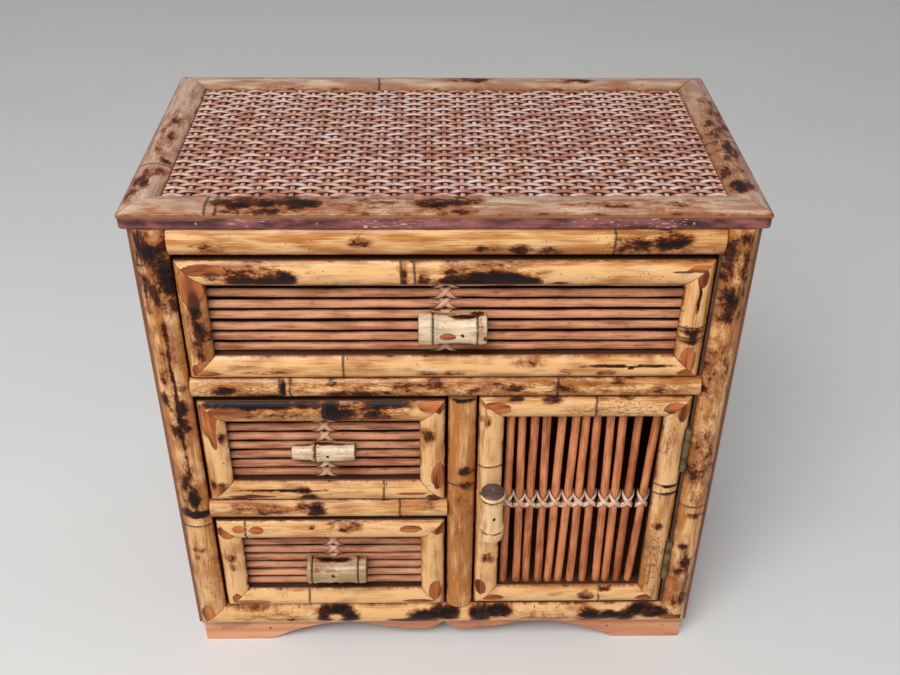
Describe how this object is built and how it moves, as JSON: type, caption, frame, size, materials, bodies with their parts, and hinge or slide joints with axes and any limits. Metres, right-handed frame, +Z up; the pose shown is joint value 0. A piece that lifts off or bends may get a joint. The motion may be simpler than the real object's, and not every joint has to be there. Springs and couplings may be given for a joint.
{
  "type": "tabletop chest of drawers",
  "caption": "Tabletop chest in scorched split bamboo and rattan: a wide drawer over small drawers and a rod-grille door, with a woven top and a scalloped apron.",
  "frame": {"origin": "on the floor, at the middle of the chest's box in plan, pulls included", "axes": "+X to the right as the front is seen, +Y to the back, +Z up; the drawers and door face -Y"},
  "size_m": [0.337, 0.1982, 0.3356],
  "materials": {
    "burnt_bamboo": "varnished split bamboo with brown scorch marks",
    "pull_bamboo": "varnished cream bamboo with dark node grooves",
    "rattan_rod": "stained reddish-brown rattan, satin",
    "split_cane": "pale split cane, satin",
    "woven_rattan": "woven rattan splints, satin varnish",
    "painted_edge": "dark maroon paint, scratched",
    "stained_board": "reddish-brown stain",
    "dark_slat": "near-black stain",
    "box_wood": "plain unvarnished board",
    "plinth_wood": "salmon-stained softwood",
    "aged_brass": "tarnished",
    "cap_wood": "dark brown, worn"
  },
  "bodies": {
    "case": {"side_board_left": "stained_board", "side_board_right": "stained_board", "back_board": "stained_board", "face_frame": "dark_slat", "rear_posts": "box_wood", "bottom_board": "box_wood", "middle_shelf": "box_wood", "small_shelf": "box_wood", "partition": "box_wood", "drawer_guides": "box_wood", "door_stop": "box_wood", "front_apron": "plinth_wood", "plinth_boards": "plinth_wood", "top_board": "box_wood", "top_moulding": "painted_edge", "woven_panel": "woven_rattan", "top_bamboo_front": "burnt_bamboo", "top_bamboo_back": "burnt_bamboo", "top_bamboo_left": "burnt_bamboo", "top_bamboo_right": "burnt_bamboo", "stile_left": "burnt_bamboo", "stile_right": "burnt_bamboo", "rail_top": "burnt_bamboo", "rail_middle": "burnt_bamboo", "rail_lower": "burnt_bamboo", "rail_bottom": "burnt_bamboo", "centre_stile": "burnt_bamboo", "hinge_case_leaves": "aged_brass", "hinge_pins": "aged_brass"},
    "door": {"door_slats": "dark_slat", "door_bamboo_top": "burnt_bamboo", "door_bamboo_right": "burnt_bamboo", "door_bamboo_bottom": "burnt_bamboo", "door_bamboo_left": "burnt_bamboo", "door_rods": "rattan_rod", "door_lashing": "split_cane", "door_knob": "pull_bamboo", "door_knob_cap": "cap_wood", "hinge_door_leaves": "aged_brass"},
    "top_drawer": {"top_drawer_slats": "dark_slat", "top_drawer_bamboo": "burnt_bamboo", "top_drawer_rods": "rattan_rod", "top_drawer_lashing": "split_cane", "top_drawer_pull": "pull_bamboo", "top_drawer_box": "box_wood", "top_drawer_bottom": "box_wood"},
    "upper_drawer": {"upper_drawer_slats": "dark_slat", "upper_drawer_bamboo": "burnt_bamboo", "upper_drawer_rods": "rattan_rod", "upper_drawer_lashing": "split_cane", "upper_drawer_pull": "pull_bamboo", "upper_drawer_box": "box_wood", "upper_drawer_bottom": "box_wood"},
    "lower_drawer": {"lower_drawer_slats": "dark_slat", "lower_drawer_bamboo": "burnt_bamboo", "lower_drawer_rods": "rattan_rod", "lower_drawer_lashing": "split_cane", "lower_drawer_pull": "pull_bamboo", "lower_drawer_box": "box_wood", "lower_drawer_bottom": "box_wood"}
  },
  "joints": [
    {"name": "top_drawer_slide", "type": "slide", "parent": "case", "child": "top_drawer", "axis": [0, -1, 0], "range_m": [0, 0.11]},
    {"name": "upper_drawer_slide", "type": "slide", "parent": "case", "child": "upper_drawer", "axis": [0, -1, 0], "range_m": [0, 0.11]},
    {"name": "lower_drawer_slide", "type": "slide", "parent": "case", "child": "lower_drawer", "axis": [0, -1, 0], "range_m": [0, 0.11]},
    {"name": "door_hinge", "type": "hinge", "parent": "case", "child": "door", "pos_m": [0.1443, -0.08242, 0.125], "axis": [0, 0, 1], "range_deg": [0, 110]}
  ]
}
